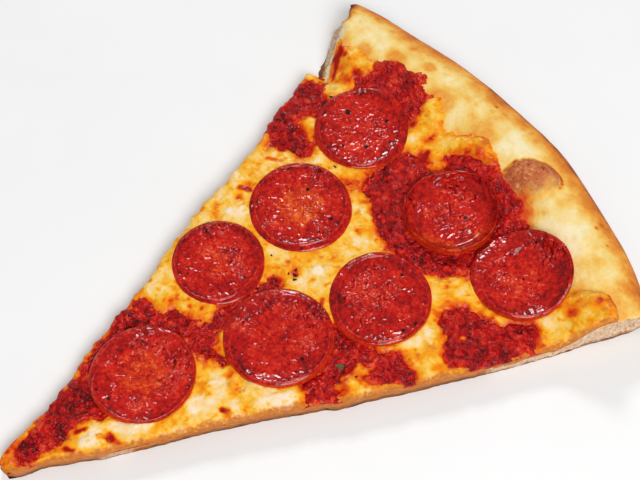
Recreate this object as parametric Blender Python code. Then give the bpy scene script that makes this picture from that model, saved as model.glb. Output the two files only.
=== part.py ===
"""Pepperoni pizza slice: one eighth of a round pizza, lying flat on its base.

The slice is modelled flat and regular first, the way a whole pizza is laid up and cut: a round of
dough with a raised rim, a sauce layer, a cheese layer with holes where the sauce comes through,
and round pepperoni on top. Each layer is a section turned through the angle of the slice. Every
layer is then draped over the dough, and one function stretches them all alike, as hands do.

While it is made, the centre of the pizza is at the origin and the slice runs along +Y. The empty
that carries the pieces then puts the middle of the base at the origin. Units are metres, +Z is up.
"""

import math

import bmesh
import bpy
from mathutils import Matrix

# ---------------------------------------------------------------- driving dimensions
MM = 0.001
PIZZA_RADIUS = 0.2036
SLICE_ANGLE = math.radians(45)
TIP_RADIUS = 0.0008
TIP_BLUNTNESS = 2.9  # the tip is blunt: its sides spread by this factor, less 1, at the centre
TIP_LENGTH = 0.0045  # and the spread dies away over this length
RIM_PULL = 0.0018  # both corners of the rim are dragged towards -X by the cutter

BASE_THICKNESS = 0.0044
TIP_THICKNESS = 0.0032
BASE_FULL_AT = 0.130  # the base reaches its full thickness this far from the centre
RIM_START = 0.170  # where the base begins to rise into the rim
RIM_CREST = 0.190
RIM_HEIGHT = 0.0138
RIM_EQUATOR = 0.0055  # height of the rim's outermost line
RIM_FOOT = 0.194  # the base is flat out to here

GAP = 0.0003  # clearance between touching pieces
SAUCE_THICKNESS = 0.0010
CHEESE_THICKNESS = 0.0018
PATCH_RISE = 0.0020  # how far sauce rises through a hole, above the layer of sauce
SAUCE_EDGE = 0.178  # outer edge of the layer of sauce under the cheese
CHEESE_EDGE = 0.184  # mean outer edge of the cheese

PEPPERONI_THICKNESS = 0.0016
PEPPERONI_CUP = 0.0011  # how far the edge of a slice of pepperoni curls up

TURN_STEPS = 18
ROUND_STEPS = 20
WELD = 0.00001  # points closer than this are one point

# Radii at which every layer has a row of points, so that draped layers never meet.
STATIONS = [TIP_RADIUS, 0.009, 0.020, 0.036, 0.056, 0.078, 0.102, 0.128, 0.150, RIM_START]
STATIONS += [RIM_START + i * (RIM_CREST - RIM_START) / 7 for i in range(1, 8)]

# Height of each layer above the dough that it lies on.
SAUCE_LOW = GAP
SAUCE_HIGH = SAUCE_LOW + SAUCE_THICKNESS
CHEESE_LOW = SAUCE_HIGH + GAP
CHEESE_HIGH = CHEESE_LOW + CHEESE_THICKNESS
PATCH_HIGH = SAUCE_HIGH + PATCH_RISE
PEPPERONI_LOW = max(CHEESE_HIGH, PATCH_HIGH) + GAP
COLUMN_HEIGHT = 4 * PATCH_HIGH  # the columns that cut the holes stand well clear of the layers

# Where sauce shows through the cheese: round holes that run together, as centre x, centre y and
# radius in mm, from the tip outwards. A hole that passes a cut is open at that side of the slice.
SAUCE_HOLES = (
    (0, 3, 6), (-2, 12, 7), (-3.5, 20, 7), (-6, 28, 7.5),
    (-22, 52, 7.5), (-18, 59, 7.5), (-5, 70, 8.5), (6, 70, 5), (-4.5, 79, 5),
    (35, 91, 6), (30, 103, 6.5), (24, 107, 5), (42, 112.5, 5),
    (44, 137, 7), (52, 143, 6.5), (55.5, 150, 5), (48, 130, 5),
    (4, 159, 23), (21, 170, 9),
    (-45, 174, 8), (-34, 176, 8),
    (-58, 150, 6.5), (-54, 142, 7), (-45, 134, 6),
)  # fmt: skip

# Each slice of pepperoni: centre x, centre y and diameter, in mm.
PEPPERONI = (
    (-34.0, 156.3, 32.6),
    (-21.0, 121.7, 33.8),
    (9.0, 159.5, 30.6),
    (-20.0, 89.0, 30.2),
    (12.5, 89.5, 34.4),
    (20.2, 122.6, 32.6),
    (40.6, 163.0, 32.2),
    (-1.5, 49.5, 32.4),
)

# The blister on the rim: centre x, centre y, and half its length, width and height, in mm.
BLISTER = (13.8, 191.0, 8.8, 6.0, 3.2)
BLISTER_SUNK = 0.0005


# ---------------------------------------------------------------- the form of the dough
def smooth_step(value):
    """0 below 0, 1 above 1, and a smooth rise in between."""
    t = min(max(value, 0.0), 1.0)
    return t * t * (3 - 2 * t)


def dough_profile(radius):
    """Height of the top of the dough in section, from the tip to the crest of the rim."""
    base = TIP_THICKNESS + (BASE_THICKNESS - TIP_THICKNESS) * smooth_step(radius / BASE_FULL_AT)
    return base + (RIM_HEIGHT - base) * smooth_step((radius - RIM_START) / (RIM_CREST - RIM_START))


def dough_top(radius):
    """The same height, straight between the stations, as the faces of the dough are."""
    radius = min(max(radius, STATIONS[0]), STATIONS[-1])
    outer = next(i for i in range(1, len(STATIONS)) if radius <= STATIONS[i])
    r0, r1 = STATIONS[outer - 1], STATIONS[outer]
    z0, z1 = dough_profile(r0), dough_profile(r1)
    return z0 + (z1 - z0) * (radius - r0) / (r1 - r0)


def polar(point):
    """Radius and angle of a point. The angle is 0 along +Y and grows towards +X."""
    return math.hypot(point.x, point.y), math.atan2(point.x, point.y)


def hand_stretched(point):
    """Moves a point of the regular slice to where it lies in the real, uneven one."""
    radius, angle = polar(point)
    side = angle / (SLICE_ANGLE / 2)
    outward = smooth_step((radius - 0.150) / 0.050)
    corner = 0.0024 * abs(side) ** 5
    wave = 0.0009 * math.sin(5.2 * side + 0.6) + 0.0004 * math.sin(11 * side)
    radius += outward * (wave - corner)
    blunt = 1 + TIP_BLUNTNESS * math.exp(-radius / TIP_LENGTH)
    cut_wave = 0.0005 * math.sin(radius / 0.017) + 0.0003 * math.sin(radius / 0.0071 + side)
    pulled = -RIM_PULL * outward * side**2
    point.x = radius * math.sin(angle) * blunt + side * cut_wave + pulled
    point.y = radius * math.cos(angle)
    point.z *= 1 + outward * (0.05 * math.sin(4.1 * side + 1.0) - 0.07 * side**4)


# ---------------------------------------------------------------- making meshes
def new_object(name, bm, collection):
    """A mesh object from a bmesh, with its faces pointing out."""
    bmesh.ops.recalc_face_normals(bm, faces=bm.faces)
    mesh = bpy.data.meshes.new(name)
    bm.to_mesh(mesh)
    bm.free()
    obj = bpy.data.objects.new(name, mesh)
    collection.objects.link(obj)
    return obj


def turned_slice(name, profile, collection):
    """A closed section of (radius, height) points, turned through the slice's angle and capped."""
    bm = bmesh.new()
    section = [bm.verts.new((0, radius, height)) for radius, height in profile]
    edges = [bm.edges.new(pair) for pair in zip(section, section[1:] + section[:1])]
    to_first_cut = Matrix.Rotation(-SLICE_ANGLE / 2, 3, "Z")
    bmesh.ops.rotate(bm, verts=section, cent=(0, 0, 0), matrix=to_first_cut)
    spin = {"cent": (0, 0, 0), "axis": (0, 0, 1), "dvec": (0, 0, 0)}
    bmesh.ops.spin(bm, geom=section + edges, angle=SLICE_ANGLE, steps=TURN_STEPS, **spin)
    open_edges = [edge for edge in bm.edges if edge.is_boundary]
    bmesh.ops.holes_fill(bm, edges=open_edges, sides=len(profile))
    return new_object(name, bm, collection)


def flat_layer(name, low, high, edge, collection):
    """A slab of even thickness out to an edge, with points at the same radii on both faces."""
    stations = [r for r in STATIONS if r < edge - 0.0005] + [edge]
    profile = [(r, low) for r in stations] + [(r, high) for r in reversed(stations)]
    return turned_slice(name, profile, collection)


def hole_columns(name, margin, height, tools):
    """Upright columns run together into one, narrower than the holes by a margin."""
    others = bpy.data.collections.new(name + "_others")
    tools.children.link(others)
    columns = []
    for x, y, radius in SAUCE_HOLES:
        bm = bmesh.new()
        width = radius * MM - margin
        column = {"cap_ends": True, "segments": ROUND_STEPS, "radius1": width, "radius2": width}
        bmesh.ops.create_cone(bm, depth=height, **column)
        bmesh.ops.translate(bm, verts=bm.verts, vec=(x * MM, y * MM, 0))
        columns.append(new_object(name, bm, others if columns else tools))
        hide_tool(columns[-1])
    boolean(columns[0], others, "UNION")
    apply_modifiers(columns[0])
    return columns[0]


def hide_tool(obj):
    obj.hide_render = True
    obj.display_type = "WIRE"


def boolean(target, tool, operation):
    """Cuts, joins or trims an object with another object, or joins it with a collection."""
    modifier = target.modifiers.new(tool.name, "BOOLEAN")
    modifier.operation = operation
    if isinstance(tool, bpy.types.Collection):
        modifier.operand_type = "COLLECTION"
        modifier.collection = tool
    else:
        modifier.object = tool


def apply_modifiers(obj):
    """Puts an object's evaluated shape into its own mesh, with doubled points welded."""
    bpy.context.view_layer.update()
    evaluated = obj.evaluated_get(bpy.context.evaluated_depsgraph_get())
    bm = bmesh.new()
    bm.from_mesh(bpy.data.meshes.new_from_object(evaluated))
    bmesh.ops.remove_doubles(bm, verts=bm.verts, dist=WELD)
    obj.modifiers.clear()
    bm.to_mesh(obj.data)
    bm.free()


def stretch(obj):
    for vertex in obj.data.vertices:
        hand_stretched(vertex.co)


def drape(obj):
    """Lays a flat layer over the dough: each point rises by the dough's height under it."""
    for vertex in obj.data.vertices:
        vertex.co.z += dough_top(polar(vertex.co)[0])
    stretch(obj)


# ---------------------------------------------------------------- the pieces
def quarter_arc(centre_r, centre_z, across, up, first_quarter, steps):
    """Points along a quarter of an ellipse, which starts at a whole number of quarter turns."""
    turns = [math.radians(90) * (first_quarter + i / steps) for i in range(steps + 1)]
    return [(centre_r + across * math.cos(t), centre_z + up * math.sin(t)) for t in turns]


def make_crust(parts, tools):
    """Dough: a thin base with a raised rim, a flat foot, and one large blister on the rim."""
    foot = [(r, 0.0) for r in STATIONS[:9:2] + [RIM_START]]
    below = quarter_arc(RIM_FOOT, RIM_EQUATOR, PIZZA_RADIUS - RIM_FOOT, RIM_EQUATOR, -1, 4)
    above_height = RIM_HEIGHT - RIM_EQUATOR
    above = quarter_arc(RIM_CREST, RIM_EQUATOR, PIZZA_RADIUS - RIM_CREST, above_height, 0, 6)
    top = [(r, dough_top(r)) for r in reversed(STATIONS[:-1])]
    crust = turned_slice("crust", foot + below[:-1] + above + top, parts)

    x, y, half_length, half_width, half_height = (value * MM for value in BLISTER)
    bm = bmesh.new()
    bmesh.ops.create_uvsphere(bm, u_segments=18, v_segments=10, radius=1)
    bmesh.ops.scale(bm, verts=bm.verts, vec=(half_length, half_width, half_height))
    height = dough_top(math.hypot(x, y)) - BLISTER_SUNK
    bmesh.ops.translate(bm, verts=bm.verts, vec=(x, y, height))
    blister = new_object("blister", bm, tools)
    hide_tool(blister)
    boolean(crust, blister, "UNION")
    apply_modifiers(crust)
    stretch(crust)
    return crust


def make_sauce(parts, tools):
    """Tomato sauce: a thin layer under the cheese that rises through the cheese's holes."""
    sauce = flat_layer("sauce", SAUCE_LOW, SAUCE_HIGH, SAUCE_EDGE, parts)
    middle = (SAUCE_LOW + SAUCE_HIGH) / 2
    fillings = flat_layer("fillings", middle, PATCH_HIGH, RIM_CREST, tools)
    boolean(fillings, hole_columns("filling_columns", GAP, COLUMN_HEIGHT, tools), "INTERSECT")
    apply_modifiers(fillings)
    hide_tool(fillings)
    boolean(sauce, fillings, "UNION")
    apply_modifiers(sauce)
    drape(sauce)
    return sauce


def make_cheese(parts, tools):
    """Melted cheese: a layer up to the rim, with a hole for each place where sauce shows."""
    cheese = flat_layer("cheese", CHEESE_LOW, CHEESE_HIGH, CHEESE_EDGE, parts)
    boolean(cheese, hole_columns("hole_columns", 0, COLUMN_HEIGHT, tools), "DIFFERENCE")
    apply_modifiers(cheese)
    drape(cheese)
    return cheese


def make_pepperoni(number, x, y, diameter, parts):
    """A round slice of sausage with a curled-up edge, draped over what it lies on."""
    radius = diameter * MM / 2
    shares = (0, 0.55, 0.86)
    lift = [PEPPERONI_CUP * share**4 for share in shares]
    below = [(radius * share, z) for share, z in zip(shares, lift)]
    side = [(radius, PEPPERONI_CUP + PEPPERONI_THICKNESS / 2)]
    above = [(r, z + PEPPERONI_THICKNESS) for r, z in reversed(below)]
    bm = bmesh.new()
    profile = [bm.verts.new((r, 0, z)) for r, z in below + side + above]
    edges = [bm.edges.new(pair) for pair in zip(profile, profile[1:])]
    spin = {"cent": (0, 0, 0), "axis": (0, 0, 1), "dvec": (0, 0, 0)}
    bmesh.ops.spin(bm, geom=profile + edges, angle=math.tau, steps=ROUND_STEPS, **spin)
    bmesh.ops.remove_doubles(bm, verts=bm.verts, dist=WELD)
    bmesh.ops.translate(bm, verts=bm.verts, vec=(x * MM, y * MM, PEPPERONI_LOW))
    pepperoni = new_object(f"pepperoni_{number}", bm, parts)
    drape(pepperoni)
    return pepperoni


# ---------------------------------------------------------------- finish and assembly
def finish(name, colour, roughness):
    """A plain material of one colour."""
    material = bpy.data.materials.new(name)
    material.use_nodes = True
    shader = material.node_tree.nodes["Principled BSDF"]
    shader.inputs["Base Color"].default_value = (*colour, 1)
    shader.inputs["Roughness"].default_value = roughness
    shader.inputs["Metallic"].default_value = 0
    return material


def dress(obj, material):
    """Gives an object its material, and shades it smooth apart from its cut edges."""
    obj.data.materials.clear()
    obj.data.materials.append(material)
    obj.data.shade_smooth()
    obj.data.set_sharp_from_angle(angle=math.radians(40))


def centre_on_base(pieces):
    """Parents the pieces to an empty that puts the middle of the base at the origin."""
    points = [vertex.co for obj in pieces for vertex in obj.data.vertices]
    middle_x = (min(p.x for p in points) + max(p.x for p in points)) / 2
    middle_y = (min(p.y for p in points) + max(p.y for p in points)) / 2
    carrier = bpy.data.objects.new("pizza_slice", None)
    carrier.location = (-middle_x, -middle_y, -min(p.z for p in points))
    bpy.context.scene.collection.objects.link(carrier)
    for obj in pieces:
        obj.parent = carrier


def main():
    for obj in list(bpy.data.objects):
        bpy.data.objects.remove(obj)
    parts = bpy.data.collections.new("pepperoni_pizza_slice")
    tools = bpy.data.collections.new("tools")
    for collection in (parts, tools):
        bpy.context.scene.collection.children.link(collection)

    crust = make_crust(parts, tools)
    sauce = make_sauce(parts, tools)
    cheese = make_cheese(parts, tools)
    pepperoni = [
        make_pepperoni(number, *place, parts) for number, place in enumerate(PEPPERONI, 1)
    ]

    dress(crust, finish("baked_dough", (0.86, 0.62, 0.30), 0.60))
    dress(sauce, finish("tomato_sauce", (0.50, 0.02, 0.01), 0.30))
    dress(cheese, finish("melted_cheese", (0.93, 0.62, 0.20), 0.40))
    sausage = finish("pepperoni_sausage", (0.52, 0.03, 0.01), 0.30)
    for piece in pepperoni:
        dress(piece, sausage)
    centre_on_base([crust, sauce, cheese, *pepperoni])


main()
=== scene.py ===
"""The looks of a slice of pepperoni pizza: baked dough, tomato sauce, melted cheese, pepperoni.

All places on the slice are in millimetres on the whole pizza: its centre, where the slice has its
tip, is at (0, 0), and the slice runs along +Y. Heights are above the surface that it lies on.
"""

import math

import bmesh
import bpy
import numpy as np
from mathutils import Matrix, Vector


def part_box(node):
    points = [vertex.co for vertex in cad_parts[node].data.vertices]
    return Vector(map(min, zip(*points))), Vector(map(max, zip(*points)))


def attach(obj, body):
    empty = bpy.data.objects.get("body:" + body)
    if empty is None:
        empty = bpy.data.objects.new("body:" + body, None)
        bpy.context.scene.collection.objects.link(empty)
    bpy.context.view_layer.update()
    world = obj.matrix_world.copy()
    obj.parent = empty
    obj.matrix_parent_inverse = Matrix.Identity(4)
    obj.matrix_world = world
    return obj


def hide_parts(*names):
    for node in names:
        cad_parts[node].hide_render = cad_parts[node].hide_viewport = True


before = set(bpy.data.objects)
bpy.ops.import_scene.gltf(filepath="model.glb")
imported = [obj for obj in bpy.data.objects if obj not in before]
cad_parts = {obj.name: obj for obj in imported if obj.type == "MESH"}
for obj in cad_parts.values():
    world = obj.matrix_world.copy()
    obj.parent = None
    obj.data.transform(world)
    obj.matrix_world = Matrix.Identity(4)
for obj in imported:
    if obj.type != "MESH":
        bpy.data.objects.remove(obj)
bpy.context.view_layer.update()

# ------------------------------------------------------------------ the dough
# Wheat dough, stretched by hand to a thin round with a thick rim and baked on a stone. The base
# is pale inside and dark brown under its foot, and the rim is cream on top and golden round its
# edge. A wheel cuts the whole pizza in eight, so both sides show the torn, porous crumb.
MM = 0.001
HALF_ANGLE = math.radians(22.5)
PIZZA_RADIUS = 203.4
TIP_RADIUS = 0.74
TIP_SHIFT = 2.45  # the corners of the rim are dragged to -X, so the tip is to +X of the middle

dough_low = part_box("crust")[0]
pizza_centre = np.array((TIP_SHIFT * MM, dough_low[1] - TIP_RADIUS * MM, 0.0))


def smooth(t):
    """0 below 0, 1 above 1, and the curve 3t^2 - 2t^3 in between."""
    t = np.clip(t, 0.0, 1.0)
    return t * t * (3 - 2 * t)


def through(points, t):
    """A smooth curve through a few (place, value) points, level at each of them."""
    places, values = np.array(points, float).T
    k = np.clip(np.searchsorted(places, t) - 1, 0, len(places) - 2)
    share = smooth((t - places[k]) / (places[k + 1] - places[k]))
    return values[k] + (values[k + 1] - values[k]) * share


TILE = 64  # cells across, before a pattern repeats


def ripple(x, y, size, seed):
    """Gradient noise, about -1 to 1: each point blends the slopes at the four corners round it."""
    slope = np.random.default_rng(seed).uniform(0, 2 * np.pi, (TILE, TILE))
    u, v = np.asarray(x) / size + 17.3, np.asarray(y) / size + 31.7
    i, j = np.floor(u).astype(int), np.floor(v).astype(int)
    total = 0.0
    for di in (0, 1):
        for dj in (0, 1):
            du, dv = u - i - di, v - j - dj
            angle = slope[(i + di) % TILE, (j + dj) % TILE]
            weight = smooth(1 - np.abs(du)) * smooth(1 - np.abs(dv))
            total = total + weight * (np.cos(angle) * du + np.sin(angle) * dv)
    return total * 1.5


def rough(x, y, size, seed, octaves=3):
    """Ripples added up, each half the size and half the height of the one before."""
    return sum(ripple(x, y, size / 2**n, seed + n) / 2**n for n in range(octaves))


def grains(x, y, size, seed):
    """Distance to the nearest of many scattered points, in spacings, and that point's number."""
    rng = np.random.default_rng(seed)
    jitter = rng.uniform(0.12, 0.88, (2, TILE, TILE))
    number = rng.random((TILE, TILE))
    u, v = np.asarray(x) / size + 11.0, np.asarray(y) / size + 7.0
    i, j = np.floor(u).astype(int), np.floor(v).astype(int)
    nearest = np.full(u.shape, 9.0)
    which = np.zeros(u.shape)
    for di in (-1, 0, 1):
        for dj in (-1, 0, 1):
            a, b = (i + di) % TILE, (j + dj) % TILE
            away = np.hypot(i + di + jitter[0, a, b] - u, j + dj + jitter[1, a, b] - v)
            which = np.where(away < nearest, number[a, b], which)
            nearest = np.minimum(nearest, away)
    return nearest, which


def inside(x, y, strokes, blend=0.8):
    """Depth inside a shape made of round-ended strokes (x0, y0, x1, y1, radius) run together."""
    total = 0.0
    for x0, y0, x1, y1, radius in strokes:
        dx, dy = x1 - x0, y1 - y0
        length = dx * dx + dy * dy + 1e-9
        t = np.clip(((x - x0) * dx + (y - y0) * dy) / length, 0, 1)
        away = np.hypot(x - x0 - t * dx, y - y0 - t * dy)
        total = total + np.exp(np.clip((radius - away) / blend, -40, 40))
    return blend * np.log(total)


def speckled(x, y, size, seed, share):
    """Round specks, 0 to 1, at some share of many scattered points."""
    away, number = grains(x, y, size, seed)
    return smooth((0.42 - away) / 0.3) * (number < share)


def bell(away, width):
    """A bell curve, 1 at 0: e to the minus of the square of away / width."""
    return np.exp(-((away / width) ** 2))


def fading(away, reach):
    """1 up to 0, and from there it dies away: e to the minus of away / reach."""
    return np.exp(-np.clip(away, 0, 60) / reach)


def spots(x, y, places, soft=0.5):
    """Round spots (x, y, radius), 1 in the middle and fading over the outer share `soft`."""
    total = np.zeros(np.shape(x))
    for x0, y0, radius in places:
        away = np.hypot(x - x0, y - y0) / radius
        total = np.maximum(total, smooth((1 - away) / soft))
    return total


# How far each cut strays outwards from a straight one, along the slice: (radius, offset).
LEFT_CUT = (
    (0, 1.2), (10, 1.6), (16, 1.4), (22, 0.5), (34, 0.8), (46, 1.3), (52, 0.7), (58, 1.1), (64, 0.5),
    (73, 0.0), (82, 0.7), (106, 1.1), (112, -0.1), (118, -0.9), (136, -1.0), (142, -0.3), (149, 0.0),
    (156, -0.7), (163, -0.3), (168, 0.2), (171, -0.8), (178, 0.2), (184, 1.0), (190, 2.2),
    (196, 1.2), (204, 0.6),
)
RIGHT_CUT = (
    (0, -1.0), (10, -1.4), (20, -0.2), (30, 0.8), (42, 0.5), (60, 0.0), (80, 0.2), (95, 1.0),
    (102, 2.0), (110, 1.4), (124, 1.5), (140, 1.2), (152, 0.8), (168, 0.0), (184, -1.4), (204, -2.6),
)
# Where the crust tore at the left cut: bare dough between the cut and the toppings.
TEAR = ((-59.8, 160.3, -64.5, 165, 2.0), (-65.5, 166, -70, 173.5, 2.6))
TOPPINGS_END = (  # where sauce and cheese end on the rim: (x, y)
    (-85, 163), (-66, 170), (-58, 174), (-50, 176), (-30, 180.5), (-26, 183), (-22, 182), (-17, 178),
    (-13, 179), (-9, 183), (-3, 185.5), (3, 184.5), (8, 181.5), (14, 178.5), (20, 176.5), (26, 174),
    (31, 171.5), (38, 175), (50, 173.5), (55, 173.5), (58, 175.3), (61, 177.4), (64.5, 179.4),
    (67.5, 180.4), (70.5, 178.5), (74, 173), (85, 160),
)
BASE_HEIGHT, TIP_HEIGHT, BASE_FULL_AT = 4.4, 3.2, 130
RIM_START, RIM_CREST, RIM_FOOT = 168.0, 190.0, 194.0
RIM_HEIGHT, RIM_EQUATOR = 13.6, 5.8


def dough_section(radius):
    """Height of the dough's top along a straight cut: thin at the tip, and rising to the rim."""
    base = TIP_HEIGHT + (BASE_HEIGHT - TIP_HEIGHT) * smooth(radius / BASE_FULL_AT)
    return base + (RIM_HEIGHT - base) * smooth((radius - RIM_START) / (RIM_CREST - RIM_START))


TORN_LEAN, TORN_DROP = 3.6, 9


def torn_lean(radius, side, drop):
    """How far the left side leans in at its top edge, near the rim, where the crust tore.

    It leans by a smooth share of TORN_LEAN that dies away TORN_DROP below the edge.
    """
    torn = smooth((radius - 168) / 3) * smooth((200 - radius) / 8)
    return np.where(side < 0, -TORN_LEAN * torn * (1 - smooth(drop / TORN_DROP)), 0.0)


TIP_SPREAD, TIP_FADE = 2.9, 4.5  # the blunt tip is spread by this share, which fades over this far


def on_slice(radius, side, drop=0.0):
    """Where a point of a regular slice lies in this one: side is -1 at the left cut, 1 at right.

    The point is turned out by its share of the half angle. The tip is spread, the rim's edge
    waves, and near a cut the point follows the cut's own wandering line. `drop` is how far the
    point is below the top edge of the cut.
    """
    angle = side * HALF_ANGLE
    outer = smooth((radius - 150) / 50)
    wave = 0.8 * np.sin(5.2 * side + 0.6) + 0.35 * np.sin(11 * side)
    wave = wave + 0.9 * bell(side + 0.24, 0.18)
    radius = radius + outer * (wave - 1.8 * np.abs(side) ** 5)
    spread = 1 + TIP_SPREAD * np.exp(-radius / TIP_FADE)
    near = smooth((np.abs(side) - 0.55) / 0.45)
    ragged = 0.55 * ripple(radius, 3.1, 3.3, 11) + 0.40 * ripple(radius, 5.7, 1.5, 12)
    left = through(LEFT_CUT, radius) + ragged * smooth((radius - 8) / 10)
    stray = np.where(side < 0, left, through(RIGHT_CUT, radius) + 0.3 * ragged)
    stray = (stray + torn_lean(radius, side, drop)) * near
    x = radius * np.sin(angle) * spread + np.sign(side) * math.cos(HALF_ANGLE) * stray
    y = radius * np.cos(angle) - math.sin(HALF_ANGLE) * stray
    return x, y


def ground(radius, side):
    """x, y and height of the dough's top: the section's height plus gentle bumps on the rim."""
    x, y = on_slice(radius, side)
    uneven = 0.42 * rough(x, y, 26, 3) + 0.16 * rough(x, y, 7, 5) + 0.05 * rough(x, y, 2.2, 9)
    return x, y, dough_section(radius) + smooth((radius - 172) / 14) * uneven


def topping_reach(x, y):
    """Depth in mm inside the line where the toppings end, made ragged, on the rim and at the tear."""
    reach = through(TOPPINGS_END, x) - y + 1.3 * rough(x, y, 6, 201) + 0.5 * ripple(x, y, 1.6, 204)
    return np.minimum(reach, -inside(x, y, TEAR, 0.6))


def quads(rows, columns, closed=False):
    """Corner numbers of the faces of a grid whose points are numbered row by row."""
    index = np.arange(rows * columns).reshape(rows, columns)
    if closed:
        index = np.column_stack([index, index[:, 0]])
    return np.stack([index[:-1, :-1], index[:-1, 1:], index[1:, 1:], index[1:, :-1]], -1)


SHARP_ANGLE, WELD = math.radians(68), 0.004


def piece_from(name, points, faces, masks, material):
    """A closed piece from arrays: points in mm, faces of four corners, a value a point a mask.

    Points on each other are merged, an open end is capped, and all faces turn outwards.
    """
    used, faces = np.unique(faces.reshape(-1, 4), return_inverse=True)
    faces = faces.reshape(-1, 4)
    mesh = bpy.data.meshes.new(name)
    mesh.vertices.add(len(used))
    mesh.vertices.foreach_set("co", (points.reshape(-1, 3)[used] * MM + pizza_centre).ravel())
    mesh.loops.add(faces.size)
    mesh.loops.foreach_set("vertex_index", faces.ravel())
    mesh.polygons.add(len(faces))
    mesh.polygons.foreach_set("loop_start", np.arange(0, faces.size, 4))
    mesh.update(calc_edges=True)
    for mask_name, values in masks.items():
        layer = mesh.attributes.new(mask_name, "FLOAT", "POINT")
        layer.data.foreach_set("value", np.asarray(values, float).ravel()[used])
    bm = bmesh.new()
    bm.from_mesh(mesh)
    bmesh.ops.remove_doubles(bm, verts=bm.verts, dist=WELD * MM)
    open_edges = [edge for edge in bm.edges if edge.is_boundary]
    bmesh.ops.holes_fill(bm, edges=open_edges, sides=0)
    bmesh.ops.recalc_face_normals(bm, faces=bm.faces)
    bm.to_mesh(mesh)
    bm.free()
    mesh.shade_smooth()
    mesh.set_sharp_from_angle(angle=SHARP_ANGLE)
    mesh.materials.append(material)
    piece = bpy.data.objects.new(name, mesh)
    bpy.context.scene.collection.objects.link(piece)
    return piece


def along(path, count):
    """Evenly spaced points along a polyline of (radius, height), by its length."""
    length = np.concatenate([[0], np.cumsum(np.hypot(*np.diff(path, axis=0).T))])
    wanted = np.linspace(0, length[-1], count)
    return np.column_stack([np.interp(wanted, length, path[:, n]) for n in (0, 1)])


SECTIONS_BASE, SECTIONS_RIM, CURVE_POINTS = 158, 92, 80
ACROSS, WALL_ROWS = 150, 15

base_radii = np.linspace(TIP_RADIUS + 0.2, RIM_START, SECTIONS_BASE, endpoint=False)
rise = np.linspace(RIM_START, RIM_CREST, CURVE_POINTS)
quarter = np.linspace(0, np.pi / 2, CURVE_POINTS)
rim_out = RIM_CREST + (PIZZA_RADIUS - RIM_CREST) * np.sin(quarter) ** 0.92
rim_down = RIM_EQUATOR + (RIM_HEIGHT - RIM_EQUATOR) * np.cos(quarter) ** 0.85
foot_out = RIM_FOOT + (PIZZA_RADIUS - RIM_FOOT) * np.sin(quarter)
foot_up = RIM_EQUATOR * (1 - np.cos(quarter))
rim_top = np.column_stack([np.append(rise[:-1], rim_out), np.append(dough_section(rise[:-1]), rim_down)])
rim_foot = np.column_stack([np.append(RIM_START, foot_out), np.append(0, foot_up)])
base_top = np.column_stack([base_radii, dough_section(base_radii)])
base_foot = np.column_stack([base_radii, 0 * base_radii])
top_path = np.concatenate([base_top, along(rim_top, SECTIONS_RIM)])
foot_path = np.concatenate([base_foot, along(rim_foot, SECTIONS_RIM)])
sections = len(top_path)
seam = smooth((sections - 1 - np.arange(sections)) / 9)[:, None]  # 0 at the outermost line

# The top of the dough: gently uneven, its cut edges rounded over.
EDGE_DROP, EDGE_REACH = 0.9, 1.6
side = np.broadcast_to(np.linspace(-1, 1, ACROSS), (sections, ACROSS))
radius = np.broadcast_to(top_path[:, :1], side.shape)
x, y, uneven = ground(radius, side)
from_cut = radius * HALF_ANGLE * (1 - np.abs(side))
edge_drop = EDGE_DROP * smooth((radius - 160) / 14) * (1 - np.clip(from_cut / EDGE_REACH, 0, 1)) ** 2
height = top_path[:, 1:] + seam * (uneven - dough_section(radius) - edge_drop)

# The large blister on the rim: a steep dome in a shallow groove, wrinkled where it browned.
BLISTER_X, BLISTER_Y, BLISTER_LENGTH, BLISTER_WIDTH = 16.9, 186.8, 9.2, 6.9
BLISTER_HEIGHT, GROOVE_DEPTH, WRINKLES, TEAR_DEPTH = 2.6, 0.25, 0.30, 1.6
BLISTER_TURN = math.radians(33)
u = (x - BLISTER_X) * math.cos(BLISTER_TURN) + (y - BLISTER_Y) * math.sin(BLISTER_TURN)
v = (y - BLISTER_Y) * math.cos(BLISTER_TURN) - (x - BLISTER_X) * math.sin(BLISTER_TURN)
blister = 1 - np.hypot(u / BLISTER_LENGTH, v / BLISTER_WIDTH) + 0.03 * ripple(x, y, 5, 21)
dome = np.sqrt(1 - (1 - np.clip(blister, 0, 1)) ** 2)
lower = u / 22 - v / 9 + 0.3 * ripple(x, y, 4, 22)
groove = bell(blister + 0.03, 0.055) * smooth(0.9 - lower)
height = height + BLISTER_HEIGHT * dome - GROOVE_DEPTH * groove
height = height + WRINKLES * rough(x, y, 2.2, 31) * smooth(blister / 0.3)
tear = smooth((inside(x, y, TEAR, 0.6) + 0.5) / 2)
height = height - TEAR_DEPTH * tear
top = np.stack([x, y, height], -1)

# How far each place baked, and where the blister scabbed and the fat of the toppings stained it. The
# blister's colours are partly painted light and shade: its far side darker, its near side golden, and its
# groove dark.
outer = np.hypot(x, y) - (PIZZA_RADIUS - 1.0)
CREAM_RIM = ((-62, 181, 13), (-14, 178, 8), (36, 187, 16), (2, 191, 8))
GOLD_RIM = ((-38, 188, 3.2), (-58, 175, 4), (-50, 181, 4))
RIM_SPECKS = ((42.8, 191.3, 0.9), (-35.5, 189, 0.7), (49, 190, 0.8), (-12, 196, 0.8))
GREASY = (
    (-25, 184, 7), (-37, 188, 3.2), (-56, 175, 6), (-46, 182, 5), (-8, 186, 6), (28, 181, 4),
    (31, 178, 4), (63, 184, 5), (-20, 190, 3), (-66, 172, 5),
)
STAINED = ((28, 175, 6.5), (24, 178, 7), (20, 180, 7), (14, 181, 5))
# The blister browned, and is painted darker on its far side as shade and golden on its near side as light.
browned = smooth((blister - 0.01) / 0.07) * smooth(0.84 - 0.8 * lower)
golden = smooth((blister + 0.08) / 0.1) * smooth(lower + 0.3)
past_toppings = -topping_reach(x, y)
grease = fading(past_toppings, 3.2) * smooth((np.abs(x - 41) - 11) / 4)
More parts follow.
